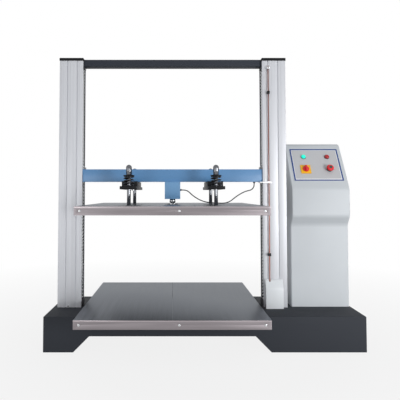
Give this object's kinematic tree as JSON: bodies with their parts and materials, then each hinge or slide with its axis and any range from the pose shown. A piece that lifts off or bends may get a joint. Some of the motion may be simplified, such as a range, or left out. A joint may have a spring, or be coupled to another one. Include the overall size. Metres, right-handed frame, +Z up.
{
  "type": "carton compression tester",
  "caption": "Floor-standing carton compression tester: columns with ball screws, a crosshead that presses a spring-hung platen onto the lower one, and a console with a sloping panel.",
  "frame": {"origin": "on the floor, at the middle of the base's width and depth", "axes": "+X to the console's side, +Y to the back, +Z up"},
  "size_m": [1.794, 1.005, 1.711],
  "materials": {
    "charcoal_enamel": "satin",
    "column_silver": "satin",
    "liner_black": "matte",
    "cap_black": "satin",
    "beam_dark": "satin",
    "ground_steel": "ground",
    "block_steel": "machined",
    "bushing_bronze": "machined",
    "pulley_aluminium": "machined",
    "belt_rubber": "matte",
    "motor_black": "satin",
    "platen_stainless": "brushed",
    "core_aluminium": "machined",
    "bright_fasteners": "polished",
    "crosshead_blue": "gloss",
    "cell_steel": "satin",
    "ball_chrome": "polished",
    "bracket_black": "satin",
    "spring_steel": "plated",
    "finger_steel": "plated",
    "rod_copper_red": "satin",
    "stop_black": "moulded",
    "cover_grey": "satin",
    "console_grey": "satin",
    "panel_white": "satin",
    "lamp_green": "glossy",
    "lamp_red": "glossy",
    "isolator_yellow": "moulded",
    "isolator_red": "moulded",
    "collar_green": "moulded",
    "cable_grey": "matte"
  },
  "bodies": {
    "base": {"left_pedestal": "charcoal_enamel", "bridge_beam": "charcoal_enamel", "right_pedestal": "charcoal_enamel", "base_top_plate": "charcoal_enamel", "left_column": "column_silver", "right_column": "column_silver", "column_liners": "liner_black", "column_caps": "cap_black", "top_beam": "beam_dark", "guide_rods": "ground_steel", "bearing_blocks": "block_steel", "screw_bearings": "ground_steel", "screw_belt": "belt_rubber", "drive_belt": "belt_rubber", "servo_motor": "motor_black", "lower_platen_skin": "platen_stainless", "lower_platen_core": "core_aluminium", "lower_platen_screws": "bright_fasteners", "limit_rod_guide": "finger_steel", "foot_cover": "cover_grey", "limit_switches": "stop_black", "console_housing": "console_grey", "console_back_door": "console_grey", "control_panel": "panel_white", "green_lamp": "lamp_green", "red_lamp": "lamp_red", "isolator_plate": "isolator_yellow", "stop_button_collar": "collar_green", "servo_drive": "motor_black"},
    "left_screw": {"left_ball_screw": "ground_steel", "left_screw_pulley": "pulley_aluminium"},
    "right_screw": {"right_ball_screw": "ground_steel", "right_screw_pulley": "pulley_aluminium"},
    "motor_rotor": {"motor_shaft": "ground_steel", "drive_pulley": "pulley_aluminium"},
    "crosshead": {"crosshead_beam": "crosshead_blue", "crosshead_blocks": "block_steel", "ball_nuts": "ground_steel", "guide_bushings": "bushing_bronze", "load_cell_housing": "crosshead_blue", "load_cell": "cell_steel", "pressure_ball": "ball_chrome", "bracket_blocks": "bracket_black", "bracket_plates": "bracket_black", "suspension_springs": "spring_steel", "trip_finger": "finger_steel", "load_cell_cable": "cable_grey", "cable_glands": "stop_black"},
    "upper_platen": {"upper_platen_skin": "platen_stainless", "upper_platen_core": "core_aluminium", "ball_seat": "ball_chrome", "suspension_rods": "ball_chrome", "spring_washers": "spring_steel", "cap_nuts": "ball_chrome", "upper_platen_screws": "bright_fasteners"},
    "limit_rod": {"limit_rod": "rod_copper_red"},
    "upper_stop": {"upper_limit_stop": "stop_black"},
    "lower_stop": {"lower_limit_stop": "stop_black"},
    "isolator": {"isolator_handle": "isolator_red"},
    "stop_button": {"stop_button": "isolator_red"}
  },
  "joints": [
    {"name": "crosshead_travel", "type": "slide", "parent": "base", "child": "crosshead", "axis": [0, 0, 1], "range_m": [-0.41, 0.52]},
    {"name": "left_screw_turn", "type": "hinge", "parent": "base", "child": "left_screw", "pos_m": [-0.744, 0, 0.9], "axis": [0, 0, 1], "continuous": true},
    {"name": "right_screw_turn", "type": "hinge", "parent": "base", "child": "right_screw", "pos_m": [0.384, 0, 0.9], "axis": [0, 0, 1], "continuous": true},
    {"name": "motor_turn", "type": "hinge", "parent": "base", "child": "motor_rotor", "pos_m": [0.67, 0.095, 0.1], "axis": [0, 0, 1], "continuous": true},
    {"name": "platen_float", "type": "slide", "parent": "crosshead", "child": "upper_platen", "axis": [0, 0, 1], "range_m": [-0.008, 0], "stiffness_N_per_m": 180000, "springref_m": 0.0052, "deforming": ["suspension_springs"]},
    {"name": "limit_rod_slide", "type": "slide", "parent": "base", "child": "limit_rod", "axis": [0, 0, 1], "range_m": [-0.004, 0.004], "stiffness_N_per_m": 3000, "springref_m": 0.0012},
    {"name": "upper_stop_slide", "type": "slide", "parent": "limit_rod", "child": "upper_stop", "axis": [0, 0, 1], "range_m": [0, 0.12]},
    {"name": "lower_stop_slide", "type": "slide", "parent": "limit_rod", "child": "lower_stop", "axis": [0, 0, 1], "range_m": [-0.135, 0]},
    {"name": "isolator_turn", "type": "hinge", "parent": "base", "child": "isolator", "pos_m": [0.644, -0.0003, 1.0324], "axis": [0, -0.8501, 0.5266], "range_deg": [0, 90]},
    {"name": "stop_button_push", "type": "slide", "parent": "base", "child": "stop_button", "axis": [0, -0.8501, 0.5266], "range_m": [-0.006, 0]}
  ],
  "couplings": [
    {"joint": "left_screw_turn", "follows": "crosshead_travel", "rad_per_m": -314.16},
    {"joint": "right_screw_turn", "follows": "crosshead_travel", "rad_per_m": -314.16},
    {"joint": "motor_turn", "follows": "crosshead_travel", "rad_per_m": -314.16}
  ]
}
